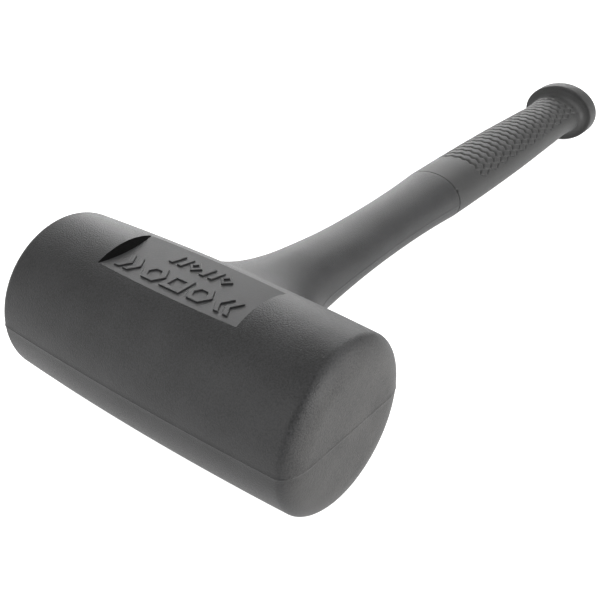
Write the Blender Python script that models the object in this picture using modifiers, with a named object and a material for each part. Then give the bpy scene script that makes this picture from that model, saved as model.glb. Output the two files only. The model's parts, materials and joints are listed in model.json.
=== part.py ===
"""Dead blow mallet: one urethane moulding over a steel canister of loose shot, a steel core rod and a grip.

The mallet is drawn in its own frame, in metres: the head's centre is the origin, the head's axis is X,
the handle runs out along +Y, and Z is square to the cheeks. The empty "mallet" then lays it down on a
floor at Z = 0, where it rests on the head's belly and on the grip's flange.
"""

import math

import bmesh
import bpy
from mathutils import Vector

MM = 0.001
GAP = 0.3 * MM  # between solids that touch on the real object
OVERRUN = 5.0 * MM  # how far a cutter runs past the face it cuts

# Head
HEAD_LENGTH = 142.2 * MM
HEAD_RADIUS = 35.0 * MM  # at the middle, where the barrel is fullest
HEAD_END_RADIUS = 33.5 * MM
BELLY_HALF_LENGTH = 18.0 * MM  # the straight stretch in the middle that the head rests on
EDGE_LENGTH = 5.8 * MM  # the rounding between barrel and striking face, along the head
EDGE_DEPTH = 11.8 * MM  # and its reach in from the barrel's end

# Flat panel cut into the upper cheek
PANEL_LENGTH = 65.0 * MM
PANEL_CENTRE_X = 0.5 * MM
PANEL_HEIGHT = 32.0 * MM  # of its floor above the head's axis

# Neck and shaft sections: distance from the head's axis, half width along X, half thickness along Z
NECK_SECTIONS = [
    (12 * MM, 39.5 * MM, 25.0 * MM),
    (22 * MM, 37.5 * MM, 23.5 * MM),
    (29 * MM, 35.0 * MM, 21.8 * MM),
    (36 * MM, 31.2 * MM, 20.0 * MM),
    (42 * MM, 27.0 * MM, 18.4 * MM),
    (49 * MM, 22.6 * MM, 17.0 * MM),
    (57 * MM, 18.8 * MM, 15.8 * MM),
    (67 * MM, 16.6 * MM, 14.7 * MM),
    (79 * MM, 15.9 * MM, 13.3 * MM),
    (92 * MM, 15.4 * MM, 11.9 * MM),
    (126 * MM, 14.5 * MM, 11.0 * MM),
    (158 * MM, 15.2 * MM, 11.4 * MM),
    (169 * MM, 15.9 * MM, 11.9 * MM),
]
SHAFT_END = 172.0 * MM
SHAFT_LIP = 1.2 * MM  # how much the shaft's end is rounded in

# Grip sleeve sections, then its flange
GRIP_SECTIONS = [
    (172.4 * MM, 15.2 * MM, 11.2 * MM),
    (176 * MM, 16.2 * MM, 11.8 * MM),
    (196 * MM, 16.5 * MM, 11.7 * MM),
    (246 * MM, 16.2 * MM, 11.3 * MM),
    (285 * MM, 15.0 * MM, 10.5 * MM),
    (303 * MM, 14.5 * MM, 10.1 * MM),
    (311 * MM, 15.4 * MM, 11.0 * MM),
    (316 * MM, 17.4 * MM, 12.9 * MM),
]
FLANGE_START = 318.2 * MM
FLANGE_THICKNESS = 8.7 * MM
FLANGE_HALF_WIDTH = 20.2 * MM
FLANGE_HALF_THICKNESS = 15.8 * MM
FLANGE_EDGE = 1.6 * MM
BUTT = FLANGE_START + FLANGE_THICKNESS

# Steel canister inside the head
CANISTER_RADIUS = 28.0 * MM
CANISTER_HALF_LENGTH = 56.0 * MM
CHAMBER_RADIUS = 25.5 * MM
CHAMBER_HALF_LENGTH = 49.2 * MM
CAP_SEAT_RADIUS = 26.4 * MM
LIP_INNER_RADIUS = 23.5 * MM
LIP_THICKNESS = 1.5 * MM
CAP_CHAMFER = 1.0 * MM

# Core rod, its socket on the canister and the pin through both
ROD_RADIUS = 6.35 * MM
ROD_START = 25.9 * MM
ROD_END = 314.0 * MM
ROD_CHAMFER = 1.0 * MM
ROD_BORE_RADIUS = ROD_RADIUS + GAP
GROOVE_COUNT = 4
GROOVE_FIRST = 196.0 * MM
GROOVE_PITCH = 28.0 * MM
GROOVE_WIDTH = 4.0 * MM
GROOVE_DEPTH = 0.9 * MM
SOCKET_RADIUS = 12.5 * MM
SOCKET_END = 52.0 * MM
SOCKET_CHAMFER = 1.5 * MM
PIN_RADIUS = 2.5 * MM
PIN_POSITION = 42.0 * MM
PIN_CHAMFER = 0.5 * MM

# Loose shot, drawn as fewer and larger balls than the real charge
SHOT_RADIUS = 6.0 * MM
SHOT_SPACING = 2 * SHOT_RADIUS + GAP
SHOT_TRAVEL = 6.0 * MM  # free run of the charge each way along the head
SHOT_LEVEL = 1.0 * MM  # height of the top layer's centres
SHOT_SIDE_SHIFT = -2.0 * MM  # sets the rows across the chamber so that the most balls fit

HEAD_STEPS = 48
SECTION_POINTS = 32
ROUND_STEPS = 24

ALONG_X = (0, math.pi / 2, 0)  # turns an object's Z axis onto X
ALONG_Y = (-math.pi / 2, 0, 0)  # turns an object's Z axis onto Y

BLACK_URETHANE = (0.045, 0.046, 0.047)
BLACK_GRIP = (0.040, 0.041, 0.042)
RAW_STEEL = (0.36, 0.36, 0.37)
BRIGHT_STEEL = (0.56, 0.56, 0.58)


def clear_scene():
    for obj in list(bpy.data.objects):
        bpy.data.objects.remove(obj)


def new_collection(name):
    collection = bpy.data.collections.new(name)
    bpy.context.scene.collection.children.link(collection)
    return collection


def new_material(name, colour, roughness, metallic=0.0):
    material = bpy.data.materials.new(name)
    material.use_nodes = True
    shader = material.node_tree.nodes["Principled BSDF"]
    shader.inputs["Base Color"].default_value = (*colour, 1)
    shader.inputs["Roughness"].default_value = roughness
    shader.inputs["Metallic"].default_value = metallic
    return material


def new_object(name, mesh, collection, material=None):
    obj = bpy.data.objects.new(name, mesh)
    collection.objects.link(obj)
    if material:
        mesh.materials.append(material)
    return obj


def finish_mesh(shape, name):
    """The bmesh as a mesh with its faces turned outwards."""
    bmesh.ops.recalc_face_normals(shape, faces=shape.faces)
    mesh = bpy.data.meshes.new(name)
    shape.to_mesh(mesh)
    shape.free()
    return mesh


def turned(name, profile, axis, steps, collection, material=None, closed=False):
    """A solid turned from a profile of (distance along the axis, radius), listed from the far end back."""
    shape = bmesh.new()
    points = [shape.verts.new((radius, 0, along)) for along, radius in profile]
    for first, second in zip(points, points[1:]):
        shape.edges.new((first, second))
    if closed:
        shape.edges.new((points[-1], points[0]))
    mesh = bpy.data.meshes.new(name)
    shape.to_mesh(mesh)
    shape.free()
    obj = new_object(name, mesh, collection, material)
    obj.rotation_euler = ALONG_X if axis == "X" else ALONG_Y
    screw = obj.modifiers.new("turn", "SCREW")
    screw.steps = steps
    screw.render_steps = steps
    screw.use_merge_vertices = True
    screw.merge_threshold = 0.00005
    return obj


def ellipse(half_width, half_thickness, along):
    """The points of one section across the handle."""
    return [
        Vector((half_width * math.cos(turn), along, half_thickness * math.sin(turn)))
        for turn in (2 * math.pi * n / SECTION_POINTS for n in range(SECTION_POINTS))
    ]


def lofted(name, sections, collection, material=None):
    """A closed solid through elliptic sections across the handle."""
    shape = bmesh.new()
    rings = []
    for along, half_width, half_thickness in sections:
        points = ellipse(half_width, half_thickness, along)
        rings.append([shape.verts.new(point) for point in points])
    for ring, following in zip(rings, rings[1:]):
        for n in range(SECTION_POINTS):
            after = (n + 1) % SECTION_POINTS
            shape.faces.new((ring[n], ring[after], following[after], following[n]))
    shape.faces.new(rings[0])
    shape.faces.new(rings[-1])
    return new_object(name, finish_mesh(shape, name), collection, material)


def boxed(name, low, high, collection):
    """A plain box between two corners."""
    shape = bmesh.new()
    bmesh.ops.create_cube(shape, size=1)
    size = Vector(high) - Vector(low)
    centre = (Vector(high) + Vector(low)) / 2
    bmesh.ops.scale(shape, vec=size, verts=shape.verts)
    bmesh.ops.translate(shape, vec=centre, verts=shape.verts)
    return new_object(name, finish_mesh(shape, name), collection)


def rod_like(name, radius, start, end, axis, steps, collection, material=None, chamfer=0.0):
    """A plain round bar along X or Y, with chamfered ends if asked."""
    if chamfer:
        side = [
            (end, radius - chamfer),
            (end - chamfer, radius),
            (start + chamfer, radius),
            (start, radius - chamfer),
        ]
    else:
        side = [(end, radius), (start, radius)]
    profile = [(end, 0), *side, (start, 0)]
    return turned(name, profile, axis, steps, collection, material)


def boolean(obj, tool, operation):
    """Cuts or joins with a tool, which is then hidden from the build."""
    modifier = obj.modifiers.new(tool.name, "BOOLEAN")
    modifier.operation = operation
    modifier.solver = "EXACT"
    modifier.object = tool
    tool.hide_render = True
    tool.display_type = "WIRE"


def smooth_round(obj, angle=35):
    """Smooth shading, with sharp edges kept where faces meet steeply."""
    graph = bpy.context.evaluated_depsgraph_get()
    mesh = bpy.data.meshes.new_from_object(obj.evaluated_get(graph))
    mesh.name = obj.name
    mesh.shade_smooth()
    mesh.set_sharp_from_angle(angle=math.radians(angle))
    obj.modifiers.clear()
    obj.data = mesh


def head_profile():
    """Outline of the barrel from the +X face to the -X face, as (distance along X, radius)."""
    half = HEAD_LENGTH / 2
    edge_start = half - EDGE_LENGTH
    positive = [(half, 0)]
    for turn in (0, 22, 44, 62, 77, 89):
        angle = math.radians(turn)
        radius = HEAD_END_RADIUS - EDGE_DEPTH * (1 - math.sin(angle))
        positive.append((edge_start + EDGE_LENGTH * math.cos(angle), radius))
    swell = HEAD_RADIUS - HEAD_END_RADIUS
    positive.append((0.67 * edge_start, HEAD_RADIUS - swell * 0.67**2))
    positive.append((BELLY_HALF_LENGTH, HEAD_RADIUS))
    return positive + [(-along, radius) for along, radius in reversed(positive)]


def rod_profile(extra=0.0):
    """Outline of the core rod with its locking grooves, from the butt end to the head end."""
    radius = ROD_RADIUS + extra
    start, end = ROD_START, ROD_END + extra
    outline = [(end, 0), (end, radius - ROD_CHAMFER), (end - ROD_CHAMFER, radius)]
    for n in reversed(range(GROOVE_COUNT)):
        near = GROOVE_FIRST + n * GROOVE_PITCH
        far = near + GROOVE_WIDTH
        slope = GROOVE_DEPTH
        outline += [
            (far, radius),
            (far - slope, radius - GROOVE_DEPTH),
            (near + slope, radius - GROOVE_DEPTH),
            (near, radius),
        ]
    return outline + [(start, radius), (start, 0)]


def make_body_overmould(parts, cutters, material):
    """Head, neck and shaft in one moulding, hollow where the canister, socket and rod sit."""
    body = turned("body_overmould", head_profile(), "X", HEAD_STEPS, parts, material)
    half_width, half_thickness = NECK_SECTIONS[-1][1:]
    end = [
        (SHAFT_END - SHAFT_LIP, half_width, half_thickness),
        (SHAFT_END, half_width - SHAFT_LIP, half_thickness - SHAFT_LIP),
    ]
    boolean(body, lofted("neck_and_shaft", NECK_SECTIONS + end, cutters), "UNION")

    half_panel = PANEL_LENGTH / 2
    low = (PANEL_CENTRE_X - half_panel, -HEAD_RADIUS / 2, PANEL_HEIGHT)
    high = (PANEL_CENTRE_X + half_panel, HEAD_RADIUS / 2, HEAD_RADIUS + OVERRUN)
    boolean(body, boxed("panel_cutter", low, high, cutters), "DIFFERENCE")

    room = CANISTER_HALF_LENGTH + GAP
    hollows = rod_like(
        "canister_room", CANISTER_RADIUS + GAP, -room, room, "X", HEAD_STEPS, cutters
    )
    socket_room = rod_like(
        "socket_room", SOCKET_RADIUS + GAP, 0, SOCKET_END + GAP, "Y", ROUND_STEPS, cutters
    )
    bore = rod_like(
        "shaft_bore", ROD_BORE_RADIUS, 0, SHAFT_END + OVERRUN, "Y", ROUND_STEPS, cutters
    )
    for tool in (hollows, socket_room, bore):
        boolean(body, tool, "DIFFERENCE")
    smooth_round(body)
    return body


def make_grip_sleeve(parts, cutters, material):
    """Grip and butt flange in one moulding, with a blind bore that locks into the rod's grooves."""
    half_width, half_thickness = FLANGE_HALF_WIDTH, FLANGE_HALF_THICKNESS
    flange = [
        (FLANGE_START, half_width - FLANGE_EDGE / 2, half_thickness - FLANGE_EDGE / 2),
        (FLANGE_START + FLANGE_EDGE, half_width, half_thickness),
        (BUTT - FLANGE_EDGE, half_width, half_thickness),
        (BUTT, half_width - FLANGE_EDGE, half_thickness - FLANGE_EDGE),
    ]
    grip = lofted("grip_sleeve", GRIP_SECTIONS + flange, parts, material)
    bore = turned("grip_bore", rod_profile(GAP), "Y", ROUND_STEPS, cutters)
    boolean(grip, bore, "DIFFERENCE")
    smooth_round(grip)
    return grip


def make_canister_tube(parts, cutters, material):
    """Tube with a seat for each cap, a rolled lip at each end and a side hole for the rod."""
    seat_end = CANISTER_HALF_LENGTH - LIP_THICKNESS
    inside = [
        (CHAMBER_HALF_LENGTH, CHAMBER_RADIUS),
        (CHAMBER_HALF_LENGTH, CAP_SEAT_RADIUS),
        (seat_end, CAP_SEAT_RADIUS),
        (seat_end, LIP_INNER_RADIUS),
        (CANISTER_HALF_LENGTH, LIP_INNER_RADIUS),
    ]
    outside = [(CANISTER_HALF_LENGTH, CANISTER_RADIUS), (-CANISTER_HALF_LENGTH, CANISTER_RADIUS)]
    mirrored = [(-along, radius) for along, radius in reversed(inside)]
    outline = outside + mirrored + inside
    tube = turned("canister_tube", outline, "X", HEAD_STEPS, parts, material, closed=True)
    reach = CANISTER_RADIUS + OVERRUN
    hole = rod_like("rod_hole", ROD_BORE_RADIUS, 0, reach, "Y", ROUND_STEPS, cutters)
    boolean(tube, hole, "DIFFERENCE")
    smooth_round(tube)


def make_canister_caps(parts, material):
    """A disc in each end of the tube, held between its seat and the rolled lip."""
    near = CHAMBER_HALF_LENGTH + GAP
    far = CANISTER_HALF_LENGTH - LIP_THICKNESS - GAP
    radius = CAP_SEAT_RADIUS - GAP
    for name, start, end in (("canister_cap_right", near, far), ("canister_cap_left", -far, -near)):
        cap = rod_like(name, radius, start, end, "X", HEAD_STEPS, parts, material, CAP_CHAMFER)
        smooth_round(cap)


def make_socket(parts, cutters, material):
    """Boss that sits on the tube like a saddle and takes the end of the rod."""
    foot = ROD_START - OVERRUN
    outline = [
        (SOCKET_END, ROD_BORE_RADIUS),
        (SOCKET_END, SOCKET_RADIUS - SOCKET_CHAMFER),
        (SOCKET_END - SOCKET_CHAMFER, SOCKET_RADIUS),
        (foot, SOCKET_RADIUS),
        (foot, ROD_BORE_RADIUS),
    ]
    socket = turned("rod_socket", outline, "Y", ROUND_STEPS, parts, material, closed=True)
    reach = CANISTER_HALF_LENGTH
    saddle = rod_like("saddle", CANISTER_RADIUS + GAP, -reach, reach, "X", HEAD_STEPS, cutters)
    boolean(socket, saddle, "DIFFERENCE")
    boolean(socket, pin_hole("socket_pin_hole", cutters), "DIFFERENCE")
    smooth_round(socket)


def pin_hole(name, cutters):
    """Cutter for the cross hole that the pin goes through."""
    reach = SOCKET_RADIUS + OVERRUN
    hole = rod_like(name, PIN_RADIUS + GAP, -reach, reach, "X", ROUND_STEPS, cutters)
    hole.location.y = PIN_POSITION
    return hole


def make_rod(parts, cutters, material):
    rod = turned("core_rod", rod_profile(), "Y", ROUND_STEPS, parts, material)
    boolean(rod, pin_hole("rod_pin_hole", cutters), "DIFFERENCE")
    smooth_round(rod)


def make_pin(parts, material):
    reach = SOCKET_RADIUS - PIN_CHAMFER
    steps = ROUND_STEPS // 2
    pin = rod_like("socket_pin", PIN_RADIUS, -reach, reach, "X", steps, parts, material, PIN_CHAMFER)
    smooth_round(pin)
    pin.location.y = PIN_POSITION


def shot_centres():
    """Centres of balls packed in hexagonal layers that fill the lower part of the chamber."""
    room = CHAMBER_RADIUS - SHOT_RADIUS - GAP
    reach = CHAMBER_HALF_LENGTH - SHOT_RADIUS - SHOT_TRAVEL - GAP
    row_step = SHOT_SPACING * math.sqrt(3) / 2
    layer_step = SHOT_SPACING * math.sqrt(2 / 3)
    layer_count = int((SHOT_LEVEL + room) / layer_step) + 1
    row_count = int(room / row_step) + 1
    ball_count = int(reach / SHOT_SPACING) + 1
    centres = []
    for layer in range(layer_count):
        height = SHOT_LEVEL - layer * layer_step
        layer_shift = SHOT_SIDE_SHIFT + (layer % 2) * row_step * 2 / 3
        for row in range(-row_count, row_count + 1):
            across = row * row_step + layer_shift
            row_shift = (row % 2) * SHOT_SPACING / 2 - SHOT_SPACING / 4
            for n in range(-ball_count, ball_count + 1):
                along = n * SHOT_SPACING + row_shift
                if math.hypot(across, height) <= room and abs(along) <= reach:
                    centres.append((along, across, height))
    return centres


def make_shot(parts, material):
    """The loose charge, each ball its own object on one shared mesh."""
    shape = bmesh.new()
    bmesh.ops.create_icosphere(shape, subdivisions=2, radius=SHOT_RADIUS)
    mesh = finish_mesh(shape, "steel_shot")
    mesh.materials.append(material)
    mesh.shade_smooth()
    for number, centre in enumerate(shot_centres(), start=1):
        ball = new_object(f"steel_shot_{number:02d}", mesh, parts)
        ball.location = centre


def lay_on_floor(mallet, body, grip):
    """Tips the handle down until its flange touches the floor, and centres the mallet over the origin."""
    rest_height = HEAD_RADIUS
    touch = []
    for vertex in grip.data.vertices:
        along, height = vertex.co.y, vertex.co.z
        reach = math.hypot(along, height)
        touch.append(math.asin(rest_height / reach) + math.atan2(height, along))
    mallet.rotation_euler.x = -min(touch)
    bpy.context.view_layer.update()
    corners = [
        obj.matrix_world @ vertex.co for obj in (body, grip) for vertex in obj.data.vertices
    ]
    low = Vector([min(corner[n] for corner in corners) for n in range(3)])
    high = Vector([max(corner[n] for corner in corners) for n in range(3)])
    mallet.location = (-(low.x + high.x) / 2, -(low.y + high.y) / 2, -low.z)


def main():
    clear_scene()
    parts = new_collection("dead_blow_mallet")
    cutters = new_collection("cutters")
    urethane = new_material("body_urethane", BLACK_URETHANE, 0.55)
    rubber = new_material("grip_rubber", BLACK_GRIP, 0.6)
    tube_steel = new_material("tube_steel", RAW_STEEL, 0.45, 1.0)
    bright_steel = new_material("bright_steel", BRIGHT_STEEL, 0.3, 1.0)

    body = make_body_overmould(parts, cutters, urethane)
    grip = make_grip_sleeve(parts, cutters, rubber)
    make_canister_tube(parts, cutters, tube_steel)
    make_canister_caps(parts, tube_steel)
    make_socket(parts, cutters, tube_steel)
    make_rod(parts, cutters, bright_steel)
    make_pin(parts, bright_steel)
    make_shot(parts, bright_steel)

    mallet = bpy.data.objects.new("mallet", None)
    parts.objects.link(mallet)
    for obj in parts.objects:
        if obj is not mallet:
            obj.parent = mallet
    lay_on_floor(mallet, body, grip)


main()
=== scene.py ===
"""Looks of the dead blow mallet: moulded body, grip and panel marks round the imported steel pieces.

Everything is drawn in the mallet's own frame, in metres. The head's centre is the origin, the
head's axis is X, the handle runs out along +Y, and Z is square to the marked cheek. PLACE lays the
mallet down as the CAD does.
"""

import json
import math

import bmesh
import bpy
import numpy as np
from mathutils import Matrix, Vector


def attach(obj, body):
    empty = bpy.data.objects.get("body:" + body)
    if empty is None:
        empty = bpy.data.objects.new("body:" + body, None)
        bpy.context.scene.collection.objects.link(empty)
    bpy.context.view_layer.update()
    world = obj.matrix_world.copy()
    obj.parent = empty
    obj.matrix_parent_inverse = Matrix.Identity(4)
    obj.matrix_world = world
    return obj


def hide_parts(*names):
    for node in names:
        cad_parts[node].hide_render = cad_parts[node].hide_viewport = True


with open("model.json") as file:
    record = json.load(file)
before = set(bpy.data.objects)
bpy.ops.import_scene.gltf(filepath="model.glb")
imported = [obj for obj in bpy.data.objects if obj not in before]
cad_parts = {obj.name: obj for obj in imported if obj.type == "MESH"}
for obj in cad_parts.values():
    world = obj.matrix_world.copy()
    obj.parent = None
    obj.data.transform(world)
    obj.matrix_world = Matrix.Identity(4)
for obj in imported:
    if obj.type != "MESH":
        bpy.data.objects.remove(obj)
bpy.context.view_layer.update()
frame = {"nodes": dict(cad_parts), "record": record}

MM = 0.001


# The frame's own measures

MOUNTS = {mount["name"]: mount for mount in frame["record"]["mounts"]}
RIGHT_FACE = Vector(MOUNTS["strike_face_right"]["pos_m"])
LEFT_FACE = Vector(MOUNTS["strike_face_left"]["pos_m"])
BUTT_POINT = Vector(MOUNTS["butt_face"]["pos_m"])
PANEL_POINT = Vector(MOUNTS["cheek_panel"]["pos_m"])
HEAD_CENTRE = (RIGHT_FACE + LEFT_FACE) / 2
ACROSS = (RIGHT_FACE - LEFT_FACE).normalized()
OUTWARD = (BUTT_POINT - HEAD_CENTRE).normalized()
UPWARD = ACROSS.cross(OUTWARD)
PLACE = Matrix.Translation(HEAD_CENTRE) @ Matrix((ACROSS, OUTWARD, UPWARD)).transposed().to_4x4()
HALF_HEAD = (RIGHT_FACE - LEFT_FACE).length / 2
BUTT = (BUTT_POINT - HEAD_CENTRE).length
PANEL_HEIGHT = (PANEL_POINT - HEAD_CENTRE).dot(UPWARD)
HEAD_RADIUS = HEAD_CENTRE.z

# Head
END_RADIUS = 33.5 * MM
EDGE_LENGTH = 5.8 * MM  # the rounding between barrel and striking face, along the head
EDGE_DEPTH = 11.8 * MM  # and its reach in from the barrel's end
FACE_MIDDLE_RADIUS = 0.8 * MM  # smallest ring of a striking face, closed by one flat polygon
PANEL_CENTRE_X = 0.5 * MM
PANEL_HALF_LENGTH = 32.5 * MM
PANEL_WALL_BULGE = 1.8 * MM  # how far the left end wall's foot curves into the panel; with the wall's lean, this spreads the wall's painted shade over where its shadow falls on the floor
RIGHT_WALL_LEAN = 0.12 * MM  # the panel's end walls lean outwards
LEFT_WALL_LEAN = 0.6 * MM
BARREL_STEP = 1.4 * MM  # between the barrel's rings beside the panel
FIRST_STEP = 1.2 * MM  # from the ring before them
LAST_STEP = 0.7 * MM  # room left for the ring after them
RIDGE_OFFSETS = np.array((-0.5, -0.25, 0.0, 0.25, 0.5)) * MM  # across the parting line
RIDGE_SHAPE = (0.0, 0.5, 1.0, 0.5, 0.0)
RIDGE_HEIGHT = 0.18 * MM
RIDGE_SQUEEZE = 0.3  # the offsets' most, as a share of the ring's radius, near a face's middle

# Marks on the panel
MARK_HEIGHT = 0.5 * MM
MARK_SINK = 0.3 * MM  # below the panel's surface
MARK_BEVEL = 0.2 * MM
MARK_STROKE = 2.2 * MM
MARK_ROW_Y = -10.6 * MM
MARK_ROW_HEIGHT = 9.2 * MM
CHEVRON_REACH = 2.6 * MM
LEFT_CHEVRONS_X = (-26.5 * MM, -22.3 * MM)
RIGHT_CHEVRONS_X = (20.6 * MM, 24.8 * MM)
HEXAGONS_X = (-10.6 * MM, 11.0 * MM)
SQUARE_X = 0.2 * MM
SMALL_ROW_Y = 3.4 * MM
SMALL_ROW_HEIGHT = 6.0 * MM
SMALL_GROUPS_X = (-13.0 * MM, 1.5 * MM)  # each group has two bars and a diamond
SMALL_BAR_GAP = 4.0 * MM
SMALL_BAR_WIDTH = 1.9 * MM
SMALL_BAR_SLANT = 1.6 * MM
DIAMOND_OFFSET = 10.6 * MM
DIAMOND_STROKE = 1.1 * MM

# Neck, as a flare from an oval on the barrel to the shaft
ROOT_HALF_WIDTH = 41.4 * MM
ROOT_HALF_THICKNESS = 26.4 * MM
HOLE_HALF_WIDTH = 45.0 * MM  # the opening in the barrel's grid that the neck grows from
HOLE_HALF_THICKNESS = 29.0 * MM
FLARE_TOP = 66.5 * MM
FLARE_ROOT_PULL = 13.0 * MM  # how long the flare keeps to the barrel's surface
FLARE_TOP_PULL = 14.0 * MM  # and to the shaft's

# Shaft and grip: distance from the head's axis, half width along X, half thickness along Z, in mm
SHAFT_SECTIONS = (
    (66.5, 16.7, 14.8),
    (79.0, 15.9, 13.3),
    (92.0, 15.4, 11.9),
    (126.0, 14.5, 11.0),
    (158.0, 15.2, 11.4),
    (172.0, 16.0, 12.0),
)
SHAFT_END = 172.0 * MM
SHAFT_LIP = 0.4 * MM  # rounding at the shaft's end
RIDGE_REACH = 0.6 * MM  # columns this close to the parting plane carry the parting line up the neck
SHAFT_BORE = ((10.0, 172.0), (6.7, 172.0), (6.7, 60.0), (6.7, 57.0))  # radius, distance out, in mm
GRIP_START = 172.2 * MM
NOTCH_TURN = math.radians(34)  # where the joint line has a small nick
NOTCH_HALF_ANGLE = math.radians(4)
NOTCH_DEPTH = 1.5 * MM
NOTCH_LENGTH = 1.6 * MM
GRIP_SECTIONS = (
    (172.2, 16.1, 11.95),
    (196.0, 16.5, 11.7),
    (246.0, 16.2, 11.3),
    (285.0, 15.0, 10.5),
    (303.0, 14.5, 10.1),
    (311.0, 14.9, 10.5),
)
GRIP_BORE = ((190.0, 6.7), (172.9, 6.7))  # distance out, radius, in mm
GRIP_LIP = ((0.5, 1.5), (0.0, 0.5), (0.05, 0.15), (0.25, 0.0))  # past the start, inset, in mm
GRIP_FIRST_ROW = 0.6 * MM
GRIP_ROW_STEP = 0.45 * MM
GRIP_COLUMNS = 280
COLLAR_RADIUS = 5.0 * MM  # hollow rounding from the grip out to the flange
COLLAR_SHARE = 0.9  # how much of the way out to the flange's edge the rounding covers
FLANGE_START = 318.2 * MM
FLANGE_HALF_WIDTH = 20.2 * MM
FLANGE_HALF_THICKNESS = 15.7 * MM
FLANGE_EDGE = 1.0 * MM

# Knurl on the grip's cheeks
KNURL_START = 197.0 * MM
KNURL_END = 311.0 * MM
KNURL_BORDER = (0.43, 0.54)  # of the cheek's height, where the scales fade in
KNURL_MIDDLE = (0.5, 0.95)  # and where their swing eases to that of the middle
KNURL_PITCH = 5.3 * MM
KNURL_WAVE_LENGTH = 3.8 * MM  # round the grip
KNURL_WAVE = 0.5 * MM  # swing of a groove in the middle of a cheek
KNURL_EDGE_WAVE = 1.3 * MM  # and near the cheek's edges
KNURL_DEPTH = 0.9 * MM
GROOVE_STEEP = 0.6 * MM  # width of a groove's steep side
GROOVE_GENTLE = 1.9 * MM  # and of its gentle side

# Rings and rows of the meshes
FACE_RINGS = 14
EDGE_RINGS = 23
PANEL_RINGS = 48
ROOT_ROWS = 7
FLARE_ROWS = 27
SHAFT_ROWS = 54
COLLAR_ROWS = 11
LIP_TURNS = (25, 50, 75, 90)
FLANGE_TURNS = (0, 22, 45, 68, 90)
BUTT_RINGS = (0.85, 0.5, 0.2)

# Columns of half a ring: on the panel, down to the parting line, and below it
TOP_COUNT = 16
SIDE_COUNT = 30
LOW_COUNT = 34
RIDGE_FIRST = TOP_COUNT + SIDE_COUNT

# Materials
SPECK_SHARE = 0.75  # of the fine speckle in the colour; the rest is soft clouds
CLOUD_SCALE = 70.0
COLOUR_RANGE = (0.38, 0.62)  # of the noise, from the dark colour to the light one
GLOSS_SPREAD = 0.07
FACE_PAINTED_LIGHT_BLEND = (3.5 * MM, 0.1 * MM)  # before the face's plane, where the faces' lighter colours, painted light, fade in
STEEL_LINE_SCALE = 900.0
STEEL_CLOUD_SCALE = 60.0
STEEL_SHADE = 0.75  # of the colour, in its darker clouds
STEEL_LINE_DEPTH = 0.02 * MM

# Camera, in the mallet's own frame
CAMERA_AZIMUTH = math.radians(39.06)  # from -Y towards +X
CAMERA_ELEVATION = math.radians(34.92)
CAMERA_ROLL = math.radians(0.51)
CAMERA_DISTANCE = 10.286 * HEAD_RADIUS
CAMERA_TARGET = Vector((0.1408, 0.9467, -0.3354)) * HEAD_RADIUS
CAMERA_LENS = 54.35
CAMERA_SHIFT = (0.0685, 0.0722)

# Floor and light
FLOOR_HALF_SIZE = 6
FLOOR_GLOW = 1.0
SKY_STRENGTH = 0.6
BOX_SIZE = 0.5
BOX_DISTANCE = 1.5
BOX_AIM = Vector((0, 0, 0.03))
SOFT_BOXES = (  # name, azimuth, elevation, watts
    ("right_low", 100, 5, 18),
    ("right_high", 120, 42, 6.5),
    ("front_low", 340, 22, 4),
    ("front_high", 340, 42, 4),
    ("back_high", 160, 60, 5),
    ("back_low", 200, 15, 5),
    ("back_left", 225, 15, 7.5),
    ("left", 250, 35, 3),
)


# Mesh building


def smooth_step(low, high, value):
    share = np.clip((value - low) / (high - low), 0, 1)
    return share * share * (3 - 2 * share)


def curve_through(sections, along):
    """Half width and half thickness at a distance along the handle, on a smooth curve."""
    table = np.array(sections) * MM
    slopes = np.gradient(table[:, 1:], table[:, 0], axis=0)
    index = np.clip(np.searchsorted(table[:, 0], along) - 1, 0, len(table) - 2)
    step = table[index + 1, 0] - table[index, 0]
    share = (along - table[index, 0]) / step
    leaving = share**3 - 2 * share**2 + share
    arriving = share**3 - share**2
    blend = 3 * share**2 - 2 * share**3
    start, end = table[index, 1:], table[index + 1, 1:]
    bend = slopes[index] * leaving + slopes[index + 1] * arriving
    return start * (1 - blend) + end * blend + step * bend


def add_grid(shape, rows):
    """Faces between closed rows of vertices."""
    for row, following in zip(rows, rows[1:]):
        for n in range(len(row)):
            after = (n + 1) % len(row)
            shape.faces.new((row[n], row[after], following[after], following[n]))


def add_row(shape, points):
    return [shape.verts.new(point) for point in points]


def piece_from(shape, name, materials, replaced=(), sharp=30):
    """A placed piece that rides on the mallet and stands for the CAD nodes that it replaces."""
    bmesh.ops.recalc_face_normals(shape, faces=shape.faces)
    mesh = bpy.data.meshes.new(name)
    shape.to_mesh(mesh)
    shape.free()
    mesh.transform(PLACE)
    for material in materials:
        mesh.materials.append(material)
    mesh.shade_smooth()
    mesh.set_sharp_from_angle(angle=math.radians(sharp))
    obj = bpy.data.objects.new(name, mesh)
    bpy.context.scene.collection.objects.link(obj)
    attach(obj, "mallet")
    if replaced:
        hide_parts(*replaced)
    return obj


# Head, neck and shaft


def barrel_radius(x):
    """The barrel's fullness along the head, without its rounded ends."""
    share = np.abs(x) / (HALF_HEAD - EDGE_LENGTH)
    return HEAD_RADIUS - (HEAD_RADIUS - END_RADIUS) * share**2


def face_profile():
    """Distance along X and radius from a face's centre out over its rounded edge."""
    flat = END_RADIUS - EDGE_DEPTH
    radii = np.linspace(FACE_MIDDLE_RADIUS, flat, FACE_RINGS, endpoint=False)
    face = [(HALF_HEAD, radius) for radius in radii]
    edge_x = HALF_HEAD - EDGE_LENGTH
    for turn in np.radians(np.linspace(0, 88, EDGE_RINGS)):
        face.append((edge_x + EDGE_LENGTH * math.cos(turn), flat + EDGE_DEPTH * math.sin(turn)))
    return face


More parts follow.
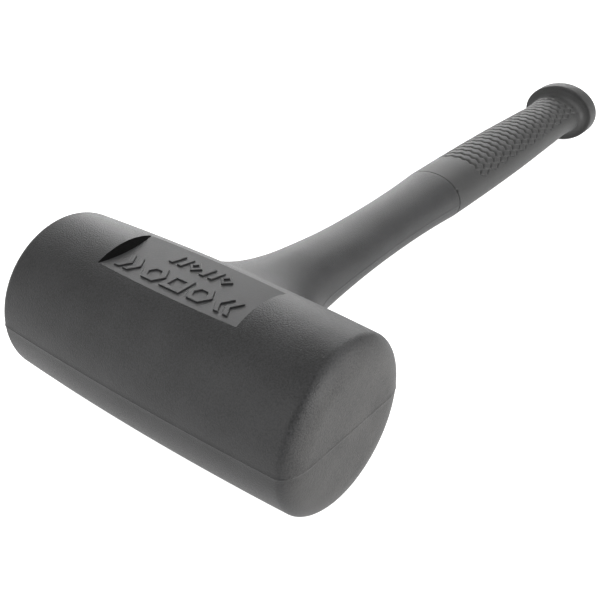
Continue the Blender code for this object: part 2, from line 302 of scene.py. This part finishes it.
def head_rows():
    """(x, radius, whether the panel crosses it) of each ring, from right face to left face."""
    face = face_profile()
    last_x = face[-1][0]
    right, left = PANEL_CENTRE_X + PANEL_HALF_LENGTH, PANEL_CENTRE_X - PANEL_HALF_LENGTH
    rows = [(x, radius, False) for x, radius in face]
    outer = np.arange(last_x - FIRST_STEP, right + LAST_STEP, -BARREL_STEP)
    rows += [(x, barrel_radius(x), False) for x in outer]
    rows.append((right, barrel_radius(right), False))
    inner = np.linspace(right - RIGHT_WALL_LEAN, left + LEFT_WALL_LEAN, PANEL_RINGS)
    rows += [(x, barrel_radius(x), True) for x in inner]
    rows.append((left, barrel_radius(left), False))
    outer = np.arange(left - FIRST_STEP, -last_x + LAST_STEP, -BARREL_STEP)
    rows += [(x, barrel_radius(x), False) for x in outer]
    rows += [(-x, radius, False) for x, radius in reversed(face)]
    return rows


def ring_angles(x, radius):
    """Angles from +Z of a ring's points, positive towards +Y, with one on each panel edge."""
    edge = math.acos(min(PANEL_HEIGHT / barrel_radius(x), 1))
    most = RIDGE_SQUEEZE * radius
    offsets = np.clip(RIDGE_OFFSETS, -most, most)
    ridge = np.arccos(-offsets / radius)
    top = np.linspace(0, edge, TOP_COUNT, endpoint=False)
    side = np.linspace(edge, ridge[0], SIDE_COUNT, endpoint=False)
    low = np.linspace(ridge[-1], math.pi, LOW_COUNT, endpoint=False)[1:]
    half = np.concatenate((top, side, ridge, low))
    return np.concatenate((half, [math.pi], -half[:0:-1]))


def flare_point(turn, share):
    """A point of the neck, from its root oval on the barrel to the shaft."""
    x, z = ROOT_HALF_WIDTH * math.cos(turn), ROOT_HALF_THICKNESS * math.sin(turn)
    radius = barrel_radius(x)
    root = Vector((x, math.sqrt(radius**2 - z**2), z))
    normal = Vector((0, root.y, root.z)).normalized()
    inward = Vector((-math.cos(turn), 0, -math.sin(turn)))
    start = (inward - normal * inward.dot(normal)).normalized()
    low = curve_through(SHAFT_SECTIONS, FLARE_TOP)
    high = curve_through(SHAFT_SECTIONS, FLARE_TOP + MM)
    end = Vector((low[0] * math.cos(turn), FLARE_TOP, low[1] * math.sin(turn)))
    above = Vector((high[0] * math.cos(turn), FLARE_TOP + MM, high[1] * math.sin(turn)))
    rise = (above - end).normalized()
    first, second = root + start * FLARE_ROOT_PULL, end - rise * FLARE_TOP_PULL
    rest = 1 - share
    return (
        root * rest**3
        + first * 3 * rest**2 * share
        + second * 3 * rest * share**2
        + end * share**3
    )


def oval_ring(along, half_width, half_thickness, turns):
    return [
        Vector((half_width * math.cos(turn), along, half_thickness * math.sin(turn)))
        for turn in turns
    ]


def pinch_ridge(points, offsets):
    """Sets the columns beside the parting line at their offsets from its plane."""
    for n, offset in offsets.items():
        points[n].z = offset
    return points


def wall_bulge(point, half_width):
    """How far the left wall's curved foot pushes a point of the panel's floor along the head."""
    run = (PANEL_CENTRE_X + PANEL_HALF_LENGTH - point.x) / (2 * PANEL_HALF_LENGTH)
    return PANEL_WALL_BULGE * (1 - (point.y / half_width) ** 2) * run


def make_body(material, floor_material, painted_shade_material):
    """Barrel, flat panel, flared neck, shaft and parting line as one closed mesh."""
    shape = bmesh.new()
    weights = {}  # vertex: its share of the parting line's height
    rows = head_rows()
    rings = []
    for x, radius, panel in rows:
        angles = ring_angles(x, radius)
        points = [Vector((x, radius * math.sin(a), radius * math.cos(a))) for a in angles]
        if panel:
            for n in range(-TOP_COUNT, TOP_COUNT + 1):
                points[n].z = PANEL_HEIGHT
                points[n].x += wall_bulge(points[n], points[TOP_COUNT].y)
        ring = add_row(shape, points)
        for side in (1, -1):
            for n, weight in enumerate(RIDGE_SHAPE):
                weights[ring[side * (RIDGE_FIRST + n)]] = weight
        rings.append(ring)
    count = len(rings[0])
    first = next(n for n, row in enumerate(rows) if row[0] < HOLE_HALF_WIDTH)
    last = len(rows) - 1 - next(n for n, row in enumerate(rows[::-1]) if row[0] > -HOLE_HALF_WIDTH)
    heights = [vertex.co.z for vertex in rings[first]]
    left_edge = next(n for n in range(1, count) if heights[n] < HOLE_HALF_THICKNESS)
    right_edge = next(n for n in range(count) if heights[n] < -HOLE_HALF_THICKNESS)
    for index in range(len(rings) - 1):
        row, following = rings[index], rings[index + 1]
        for n in range(count):
            if first <= index < last and left_edge <= n < right_edge:
                continue
            after = (n + 1) % count
            face = shape.faces.new((row[n], row[after], following[after], following[n]))
            # the panel's floor takes the second material; the left end wall takes the third, a
            # near-black painted shade for the wall's own shade and the shadow it casts on the floor
            if n < TOP_COUNT or n >= count - TOP_COUNT:
                if rows[index][2] and rows[index + 1][2]:
                    face.material_index = 1
                elif rows[index][2]:
                    face.material_index = 2
    for ring in (rings[0], rings[-1]):
        shape.faces.new(ring)

    # Neck and shaft grow from the edge of the hole left in the barrel
    loop = [rings[first][n] for n in range(right_edge, left_edge, -1)]
    loop += [rings[n][left_edge] for n in range(first, last)]
    loop += [rings[last][n] for n in range(left_edge, right_edge)]
    loop += [rings[n][right_edge] for n in range(last, first, -1)]
    wide = abs(rings[first][left_edge].co.x)
    thick = abs(rings[first][left_edge].co.z)
    turns = [math.atan2(vertex.co.z / thick, vertex.co.x / wide) for vertex in loop]
    ridge = {}  # column: offset from the parting plane
    for n, vertex in enumerate(loop):
        if vertex in weights and abs(vertex.co.z) < RIDGE_REACH:
            ridge[n] = vertex.co.z
    weight_of = [weights.get(vertex, 0) if n in ridge else 0 for n, vertex in enumerate(loop)]
    rows_up = [loop]

    def grow(points):
        row = add_row(shape, pinch_ridge(points, ridge))
        for vertex, weight in zip(row, weight_of):
            weights[vertex] = weight
        rows_up.append(row)

    for share in np.linspace(0, 1, ROOT_ROWS)[1:]:
        points = []
        for vertex, turn in zip(loop, turns):
            root = flare_point(turn, 0)
            x = vertex.co.x + (root.x - vertex.co.x) * share
            z = vertex.co.z + (root.z - vertex.co.z) * share
            points.append(Vector((x, math.sqrt(barrel_radius(x) ** 2 - z**2), z)))
        grow(points)
    for share in np.linspace(0, 1, FLARE_ROWS)[1:]:
        grow([flare_point(turn, share) for turn in turns])
    for along in np.linspace(FLARE_TOP, SHAFT_END - SHAFT_LIP, SHAFT_ROWS)[1:]:
        grow(oval_ring(along, *curve_through(SHAFT_SECTIONS, along), turns))
    half_width, half_thickness = curve_through(SHAFT_SECTIONS, SHAFT_END)
    for turn in np.radians(LIP_TURNS):
        inset = SHAFT_LIP * (1 - math.cos(turn))
        along = SHAFT_END - SHAFT_LIP * (1 - math.sin(turn))
        grow(oval_ring(along, half_width - inset, half_thickness - inset, turns))
    ridge = {}
    weight_of = [0] * len(loop)
    for radius, along in SHAFT_BORE:
        grow(oval_ring(along * MM, radius * MM, radius * MM, turns))
    add_grid(shape, rows_up)
    shape.faces.new(rows_up[-1])

    bmesh.ops.recalc_face_normals(shape, faces=shape.faces)
    shape.normal_update()
    for vertex, weight in weights.items():
        if weight:
            vertex.co += vertex.normal * (weight * RIDGE_HEIGHT)
    materials = (material, floor_material, painted_shade_material)
    return piece_from(
        shape, "moulded_body", materials, ("body_overmould",), sharp=22
    )


# Raised marks on the panel: plain shapes that say nothing


def offset_outline(points, distance):
    """The outline grown outwards by a distance, corner by corner."""
    points = np.array(points, float)
    before = points - np.roll(points, 1, axis=0)
    after = np.roll(points, -1, axis=0) - points
    before /= np.linalg.norm(before, axis=1)[:, None]
    after /= np.linalg.norm(after, axis=1)[:, None]
    normals = np.stack((before[:, 1] + after[:, 1], -before[:, 0] - after[:, 0]), axis=1)
    size = (normals**2).sum(axis=1)[:, None]
    return points + normals * (2 * distance / size)


def add_prism(shape, outline, hole=None):
    """A low block on the panel from an outline, or a frame if it has a hole of as many points."""
    top = PANEL_HEIGHT + MARK_HEIGHT
    heights = (PANEL_HEIGHT - MARK_SINK, top - MARK_BEVEL, top)

    def wall(points, grow):
        loops = []
        for height, inset in zip(heights, (0, 0, MARK_BEVEL)):
            moved = offset_outline(points, grow * inset)
            loops.append(add_row(shape, [(x, y, height) for x, y in moved]))
        add_grid(shape, loops)
        return loops

    outer = wall(outline, -1)
    if hole is None:
        shape.faces.new(outer[0])
        shape.faces.new(outer[-1])
        return
    inner = wall(hole, 1)
    add_grid(shape, (outer[0], inner[0]))
    add_grid(shape, (outer[-1], inner[-1]))


def polygon(centre, radius, count, turn=0.0):
    """Corners of a regular polygon, anticlockwise."""
    angles = [turn + 2 * math.pi * n / count for n in range(count)]
    return [(centre[0] + radius * math.cos(a), centre[1] + radius * math.sin(a)) for a in angles]


def slanted_bar(x, y, width, height, slant):
    """Corners of an upright bar whose top is shifted along X."""
    return [(x, y), (x + width, y), (x + width + slant, y + height), (x + slant, y + height)]


def chevron(x, y, width, height, reach):
    """A bent bar that points along X, or against it when its reach is negative."""
    middle = y + height / 2
    return [
        (x, y), (x + width, y), (x + width + reach, middle), (x + width, y + height),
        (x, y + height), (x + reach, middle),
    ]


def make_marks(material):
    """Two rows: chevrons and frames, then small bars and diamonds."""
    shape = bmesh.new()
    low, tall, stroke = MARK_ROW_Y, MARK_ROW_HEIGHT, MARK_STROKE
    middle = low + tall / 2

    def frame_mark(centre, radius, count, width, turn=0.0):
        outline = polygon(centre, radius, count, turn)
        add_prism(shape, outline, offset_outline(outline, -width))

    for x in LEFT_CHEVRONS_X:
        add_prism(shape, chevron(x, low, stroke, tall, CHEVRON_REACH))
    hexagon_radius = tall / 2 / math.sin(math.pi / 3)
    square_radius = tall / 2 / math.cos(math.pi / 4)
    frame_mark((HEXAGONS_X[0], middle), hexagon_radius, 6, stroke)
    frame_mark((SQUARE_X, middle), square_radius, 4, stroke, math.pi / 4)
    frame_mark((HEXAGONS_X[1], middle), hexagon_radius, 6, stroke)
    for x in RIGHT_CHEVRONS_X:
        add_prism(shape, chevron(x, low, stroke, tall, -CHEVRON_REACH))
    small_middle = SMALL_ROW_Y + SMALL_ROW_HEIGHT / 2
    for start in SMALL_GROUPS_X:
        for x in (start, start + SMALL_BAR_GAP):
            bar = slanted_bar(x, SMALL_ROW_Y, SMALL_BAR_WIDTH, SMALL_ROW_HEIGHT, SMALL_BAR_SLANT)
            add_prism(shape, bar)
        centre = (start + DIAMOND_OFFSET, small_middle)
        frame_mark(centre, SMALL_ROW_HEIGHT / 2, 4, DIAMOND_STROKE)
    return piece_from(shape, "panel_marks", (material,), sharp=40)


# Grip


def knurl(arc, along, cheek):
    """Depth of the wavy rows of scales at a distance round the grip and along the handle."""
    wave = KNURL_WAVE + (KNURL_EDGE_WAVE - KNURL_WAVE) * (1 - cheek)
    swing = wave * np.cos(2 * math.pi * arc / KNURL_WAVE_LENGTH)
    depth = np.zeros_like(arc)
    last = round((KNURL_END - KNURL_START) / KNURL_PITCH)
    nearest = round((along - KNURL_START) / KNURL_PITCH)
    for row in range(max(nearest - 1, 0), min(nearest + 1, last) + 1):
        past = along - KNURL_START - row * KNURL_PITCH - swing * (-1) ** row
        steep = 1 - smooth_step(0, GROOVE_STEEP, -past)
        gentle = 1 - smooth_step(0, GROOVE_GENTLE, past)
        depth = np.maximum(depth, steep * gentle)
    return -KNURL_DEPTH * depth


def notch(turns, along):
    """Depth of the small nick beside the joint line."""
    aside = 1 - smooth_step(0.5 * NOTCH_HALF_ANGLE, NOTCH_HALF_ANGLE, np.abs(turns - NOTCH_TURN))
    return NOTCH_DEPTH * aside * (1 - smooth_step(0, NOTCH_LENGTH, along - GRIP_START))


def make_grip(material):
    """Grip with knurled cheeks, flared into an oval flange."""
    shape = bmesh.new()
    turns = np.linspace(0, 2 * math.pi, GRIP_COLUMNS, endpoint=False)
    side = smooth_step(*KNURL_BORDER, np.abs(np.sin(turns)))
    cheek = smooth_step(*KNURL_MIDDLE, np.abs(np.sin(turns)))
    rows = []

    def grow(along, half_width, half_thickness, relief=False):
        x, z = np.cos(turns) * half_width, np.sin(turns) * half_thickness
        if relief:
            arc = (turns - math.pi / 2) * (half_width + half_thickness) / 2
            lift = knurl(arc, along, cheek) * side - notch(turns, along)
            nx, nz = np.cos(turns) * half_thickness, np.sin(turns) * half_width
            size = np.hypot(nx, nz)
            x, z = x + nx / size * lift, z + nz / size * lift
        rows.append(add_row(shape, [(a, along, b) for a, b in zip(x, z)]))

    start = curve_through(GRIP_SECTIONS, GRIP_START)
    for along, radius in GRIP_BORE:
        grow(along * MM, radius * MM, radius * MM)
    for past, inset in GRIP_LIP:
        grow(GRIP_START + past * MM, start[0] - inset * MM, start[1] - inset * MM, relief=True)
    collar_start = FLANGE_START - COLLAR_RADIUS
    for along in np.arange(GRIP_START + GRIP_FIRST_ROW, collar_start, GRIP_ROW_STEP):
        grow(along, *curve_through(GRIP_SECTIONS, along), relief=True)
    inner = curve_through(GRIP_SECTIONS, GRIP_SECTIONS[-1][0] * MM)
    room = FLANGE_HALF_WIDTH - FLANGE_EDGE - inner[0]
    for turn in np.radians(np.linspace(0, 84, COLLAR_ROWS)):
        out = room * (1 - math.cos(turn)) * COLLAR_SHARE
        along = collar_start + COLLAR_RADIUS * math.sin(turn)
        grow(along, inner[0] + out, inner[1] + out)
    edge = [(turn, FLANGE_START, 1) for turn in FLANGE_TURNS]
    edge += [(turn, BUTT, -1) for turn in reversed(FLANGE_TURNS)]
    for turn, end, way in edge:
        inset = FLANGE_EDGE * (1 - math.sin(math.radians(turn)))
        along = end + way * FLANGE_EDGE * (1 - math.cos(math.radians(turn)))
        grow(along, FLANGE_HALF_WIDTH - inset, FLANGE_HALF_THICKNESS - inset)
    for share in BUTT_RINGS:
        grow(BUTT, FLANGE_HALF_WIDTH * share, FLANGE_HALF_THICKNESS * share)
    add_grid(shape, rows)
    shape.faces.new(rows[0])
    shape.faces.new(rows[-1])
    return piece_from(shape, "moulded_grip", (material,), ("grip_sleeve",), sharp=50)


# Materials


class Nodes:
    """Adds nodes to a material's tree with short calls."""

    def __init__(self, material):
        self.tree = material.node_tree
        self.shader = self.tree.nodes["Principled BSDF"]

    def add(self, kind, settings=None, **inputs):
        node = self.tree.nodes.new(kind)
        for key, value in (settings or {}).items():
            setattr(node, key, value)
        for key, value in inputs.items():
            socket = node.inputs[key.replace("_", " ")]
            if isinstance(value, bpy.types.NodeSocket):
                self.tree.links.new(value, socket)
            else:
                socket.default_value = value
        return node

    def feed(self, socket_name, output):
        self.tree.links.new(output, self.shader.inputs[socket_name])

    def ramp(self, value, *stops):
        node = self.add("ShaderNodeValToRGB", Fac=value)
        ramp = node.color_ramp
        while len(ramp.elements) < len(stops):
            ramp.elements.new(1)
        for element, (position, colour) in zip(ramp.elements, stops):
            element.position = position
            element.color = (*colour, 1)
        return node.outputs["Color"]

    def spread(self, value, low, high, start=0.3, end=0.7):
        """Maps a value from the range start..end onto low..high."""
        node = self.add("ShaderNodeMapRange", Value=value)
        node.inputs["From Min"].default_value = start
        node.inputs["From Max"].default_value = end
        node.inputs["To Min"].default_value = low
        node.inputs["To Max"].default_value = high
        return node.outputs["Result"]

    def maths(self, operation, *values):
        node = self.add("ShaderNodeMath", {"operation": operation})
        for socket, value in zip(node.inputs, values):
            if isinstance(value, bpy.types.NodeSocket):
                self.tree.links.new(value, socket)
            else:
                socket.default_value = value
        return node.outputs[0]

    def blend(self, share, first, second):
        """A mix of two colours."""
        node = self.add("ShaderNodeMix", {"data_type": "RGBA"})
        for name, output in (("Factor_Float", share), ("A_Color", first), ("B_Color", second)):
            socket = next(s for s in node.inputs if s.identifier == name)
            self.tree.links.new(output, socket)
        return next(s for s in node.outputs if s.identifier == "Result_Color")


def new_material(name):
    material = bpy.data.materials.new(name)
    material.use_nodes = True
    return material


def moulded_material(name, dark, light, roughness, grain, grain_size, specular=0.4, face=None):
    """Moulded urethane or rubber: speckled colour, uneven gloss and a stippled surface.

    The colour runs from dark to light. The striking faces take the face pair instead, if given: a
    lighter pair, painted light for the light that falls on the faces.
    """
    material = new_material(name)
    nodes = Nodes(material)
    place = nodes.add("ShaderNodeTexCoord").outputs["Object"]
    cloud = nodes.add(
        "ShaderNodeTexNoise", Vector=place, Scale=CLOUD_SCALE, Detail=4.0
    ).outputs["Fac"]
    speck = nodes.add(
        "ShaderNodeTexNoise", Vector=place, Scale=1 / grain_size, Detail=2.0, Roughness=0.7
    ).outputs["Fac"]
    fine = nodes.maths("MULTIPLY", speck, SPECK_SHARE)
    mixed = nodes.maths("ADD", fine, nodes.maths("MULTIPLY", cloud, 1 - SPECK_SHARE))
    low, high = COLOUR_RANGE
    colour = nodes.ramp(mixed, (low, dark), (high, light))
    # painted light on the striking faces: a lighter colour pair fades in towards each face
    if face:
        along = nodes.add("ShaderNodeSeparateXYZ", Vector=place).outputs["X"]
        reach = nodes.maths("ABSOLUTE", along)
        flat = nodes.spread(reach, 0, 1, HALF_HEAD - FACE_PAINTED_LIGHT_BLEND[0], HALF_HEAD - FACE_PAINTED_LIGHT_BLEND[1])
        painted_light_face_colour = nodes.ramp(mixed, (low, face[0]), (high, face[1]))
        colour = nodes.blend(flat, colour, painted_light_face_colour)
    nodes.feed("Base Color", colour)
    nodes.feed("Roughness", nodes.spread(speck, roughness - GLOSS_SPREAD, roughness + GLOSS_SPREAD))
    nodes.shader.inputs["Specular IOR Level"].default_value = specular
    bump = nodes.add("ShaderNodeBump", Strength=1.0, Distance=grain, Height=speck)
    nodes.feed("Normal", bump.outputs["Normal"])
    return material


def steel_material(name, colour, roughness, stretch=(1, 1, 1)):
    """Bare steel with cloudy colour and fine lines, drawn out along the axis of least stretch."""
    material = new_material(name)
    nodes = Nodes(material)
    place = nodes.add("ShaderNodeTexCoord").outputs["Object"]
    stretched = nodes.add("ShaderNodeMapping", Vector=place, Scale=stretch).outputs["Vector"]
    lines = nodes.add(
        "ShaderNodeTexNoise", Vector=stretched, Scale=STEEL_LINE_SCALE, Detail=3.0
    ).outputs["Fac"]
    cloud = nodes.add(
        "ShaderNodeTexNoise", Vector=place, Scale=STEEL_CLOUD_SCALE, Detail=5.0
    ).outputs["Fac"]
    shade = [channel * STEEL_SHADE for channel in colour]
    nodes.feed("Base Color", nodes.ramp(cloud, (0.35, shade), (0.65, colour)))
    nodes.feed("Roughness", nodes.spread(lines, roughness - 0.08, roughness + 0.1))
    nodes.shader.inputs["Metallic"].default_value = 1.0
    bump = nodes.add("ShaderNodeBump", Strength=0.6, Distance=STEEL_LINE_DEPTH, Height=lines)
    nodes.feed("Normal", bump.outputs["Normal"])
    return material


def dress_steel():
    """Better materials on the CAD's own steel pieces."""
    tube = steel_material("drawn_steel", (0.40, 0.40, 0.41), 0.42, (0.05, 1, 1))
    turned = steel_material("turned_steel", (0.42, 0.41, 0.41), 0.36, (1, 1, 1))
    bar = steel_material("ground_bar", (0.58, 0.58, 0.60), 0.28, (1, 0.05, 1))
    finish = {
        "canister_tube": tube,
        "canister_cap_left": turned,
        "canister_cap_right": turned,
        "rod_socket": turned,
        "core_rod": bar,
        "socket_pin": bar,
    }
    shot = steel_material("shot_steel", (0.50, 0.50, 0.51), 0.32)
    finish.update({node: shot for node in frame["nodes"] if node.startswith("steel_shot")})
    for node, material in finish.items():
        for slot in frame["nodes"][node].material_slots:
            slot.material = material


# Stage


def direction_from(azimuth, elevation):
    """Unit vector at an azimuth from -Y towards +X and an elevation above the XY plane."""
    return Vector((
        math.sin(azimuth) * math.cos(elevation),
        -math.cos(azimuth) * math.cos(elevation),
        math.sin(elevation),
    ))


def make_camera():
    """The photo's viewpoint, set up in the mallet's own frame."""
    back = direction_from(CAMERA_AZIMUTH, CAMERA_ELEVATION)
    level = Vector((0, 0, 1)).cross(back).normalized()
    upright = back.cross(level)
    right = level * math.cos(CAMERA_ROLL) + upright * math.sin(CAMERA_ROLL)
    up = upright * math.cos(CAMERA_ROLL) - level * math.sin(CAMERA_ROLL)
    pose = Matrix((right, up, back)).transposed().to_4x4()
    pose.translation = CAMERA_TARGET + back * CAMERA_DISTANCE
    data = bpy.data.cameras.new("camera")
    data.lens = CAMERA_LENS
    data.shift_x, data.shift_y = CAMERA_SHIFT
    data.clip_start = 0.01
    camera = bpy.data.objects.new("camera", data)
    bpy.context.scene.collection.objects.link(camera)
    camera.matrix_world = PLACE @ pose
    bpy.context.scene.camera = camera


def add_light(name, azimuth, elevation, watts):
    """A square soft box that faces the mallet, placed by angles in degrees."""
    direction = direction_from(math.radians(azimuth), math.radians(elevation))
    data = bpy.data.lights.new(name, "AREA")
    data.shape = "SQUARE"
    data.size = BOX_SIZE
    data.energy = watts
    light = bpy.data.objects.new(name, data)
    bpy.context.scene.collection.objects.link(light)
    light.location = direction * BOX_DISTANCE + BOX_AIM
    light.rotation_euler = direction.to_track_quat("Z", "Y").to_euler()


def make_stage():
    """Pale floor, soft boxes and a soft sky."""
    shape = bmesh.new()
    bmesh.ops.create_grid(shape, x_segments=1, y_segments=1, size=FLOOR_HALF_SIZE)
    mesh = bpy.data.meshes.new("floor")
    shape.to_mesh(mesh)
    shape.free()
    floor = bpy.data.objects.new("floor", mesh)
    bpy.context.scene.collection.objects.link(floor)
    paper = new_material("paper")
    shader = paper.node_tree.nodes["Principled BSDF"]
    shader.inputs["Base Color"].default_value = (0.5, 0.5, 0.5, 1)
    shader.inputs["Roughness"].default_value = 0.9
    shader.inputs["Emission Color"].default_value = (1, 1, 1, 1)
    shader.inputs["Emission Strength"].default_value = FLOOR_GLOW
    mesh.materials.append(paper)

    world = bpy.data.worlds.new("studio")
    world.use_nodes = True
    background = world.node_tree.nodes["Background"]
    background.inputs["Color"].default_value = (1, 1, 1, 1)
    background.inputs["Strength"].default_value = SKY_STRENGTH
    bpy.context.scene.world = world
    for name, azimuth, elevation, watts in SOFT_BOXES:
        add_light(name, azimuth, elevation, watts)
    bpy.context.scene.view_settings.view_transform = "Standard"


make_camera()
make_stage()
urethane = moulded_material(
    "charcoal_urethane",
    dark=(0.004, 0.004, 0.0041),
    light=(0.021, 0.021, 0.0218),
    roughness=0.50,
    grain=0.19 * MM,
    grain_size=0.58 * MM,
    # painted light: the striking faces' lighter pair stands in for the light that falls on them
    face=((0.002, 0.0019, 0.0018), (0.040, 0.038, 0.036)),
)
smooth_urethane = moulded_material(
    "panel_urethane",
    dark=(0.008, 0.008, 0.0084),
    light=(0.016, 0.016, 0.0166),
    roughness=0.50,
    grain=0.03 * MM,
    grain_size=0.6 * MM,
)
# painted shade: a near-black copy of the urethane for the panel's left end wall, standing in for the
# wall's shade and its cast shadow on the floor
painted_shade_urethane = moulded_material(
    "panel_wall_painted_shade",
    dark=(0.001, 0.001, 0.001),
    light=(0.004, 0.004, 0.004),
    roughness=0.8,
    grain=0.03 * MM,
    grain_size=0.6 * MM,
    specular=0.05,
)
rubber = moulded_material(
    "grip_rubber_fine",
    dark=(0.014, 0.014, 0.0138),
    light=(0.029, 0.029, 0.0285),
    roughness=0.55,
    grain=0.08 * MM,
    grain_size=0.6 * MM,
)
make_body(urethane, smooth_urethane, painted_shade_urethane)
make_marks(smooth_urethane)
make_grip(rubber)
dress_steel()
